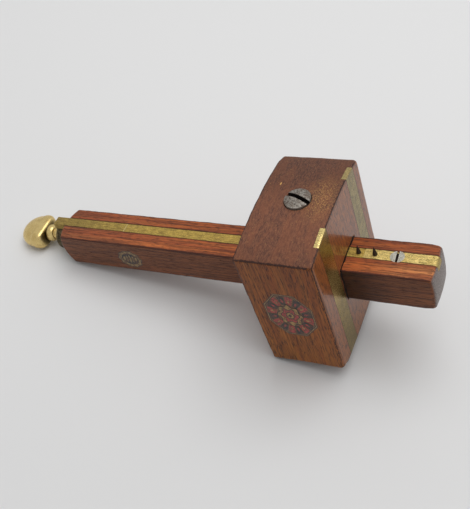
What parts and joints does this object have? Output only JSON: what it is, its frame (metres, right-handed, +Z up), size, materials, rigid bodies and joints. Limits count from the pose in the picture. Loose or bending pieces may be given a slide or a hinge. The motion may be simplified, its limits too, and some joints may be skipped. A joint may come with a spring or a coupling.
{
  "type": "mortise gauge",
  "caption": "Wooden mortise gauge with brass wear strips on its head, a thumbscrew-driven brass pin slide and a screw that clamps the head to the stem.",
  "frame": {"origin": "on the stem's axis, in the plane of the head's working face", "axes": "+X along the stem from the thumbscrew to the pins, +Z up through the pins and the clamp screw, +Y to the side away from the badge"},
  "size_m": [0.2151, 0.06, 0.0747],
  "materials": {
    "stem_wood": "worn polished rosewood, orange red with dark streaks",
    "head_wood": "worn polished rosewood, brown with golden wear",
    "plate_brass": "satin, dull and specked with tarnish",
    "wear_brass": "rubbed flat, specked with tarnish",
    "knob_brass": "turned and filed, softly polished",
    "inner_brass": "as machined",
    "screw_steel": "pitted, grey",
    "pin_steel": "dark hardened steel",
    "inner_steel": "as machined"
  },
  "bodies": {
    "stem": {"stem": "stem_wood", "pin_plate": "plate_brass", "plate_screw": "screw_steel", "fixed_pin": "pin_steel", "thread_nut": "inner_brass", "nut_pin": "inner_brass"},
    "head": {"head": "head_wood", "wear_strip_front": "wear_brass", "wear_strip_back": "wear_brass", "wear_strip_pins": "wear_brass", "clamp_bush": "inner_brass"},
    "pressure_pad": {"pressure_pad": "inner_brass"},
    "clamp_screw": {"clamp_screw": "screw_steel"},
    "pin_slide": {"pin_slide": "plate_brass", "slide_boss": "knob_brass", "moving_pin": "pin_steel"},
    "thumbscrew": {"thumb_knob": "knob_brass", "screw_rod": "inner_steel", "rod_collar": "inner_brass", "collar_pin": "inner_steel"}
  },
  "joints": [
    {"name": "head_slide", "type": "slide", "parent": "stem", "child": "head", "axis": [1, 0, 0], "range_m": [-0.105, 0]},
    {"name": "pad_travel", "type": "slide", "parent": "head", "child": "pressure_pad", "axis": [0, 0, 1], "range_m": [0, 0.0025]},
    {"name": "clamp_turn", "type": "hinge", "parent": "pressure_pad", "child": "clamp_screw", "pos_m": [-0.0159, 0.0016, 0.0379], "axis": [0, 0, 1], "range_deg": [0, 905]},
    {"name": "slide_travel", "type": "slide", "parent": "stem", "child": "pin_slide", "axis": [1, 0, 0], "range_m": [-0.0034, 0]},
    {"name": "thumbscrew_turn", "type": "hinge", "parent": "pin_slide", "child": "thumbscrew", "pos_m": [-0.16, 0.00095, -0.001], "axis": [1, 0, 0], "range_deg": [-1165, 0]}
  ],
  "couplings": [
    {"joint": "clamp_turn", "follows": "pad_travel", "rad_per_m": 6283.2},
    {"joint": "thumbscrew_turn", "follows": "slide_travel", "rad_per_m": 5927.7}
  ]
}
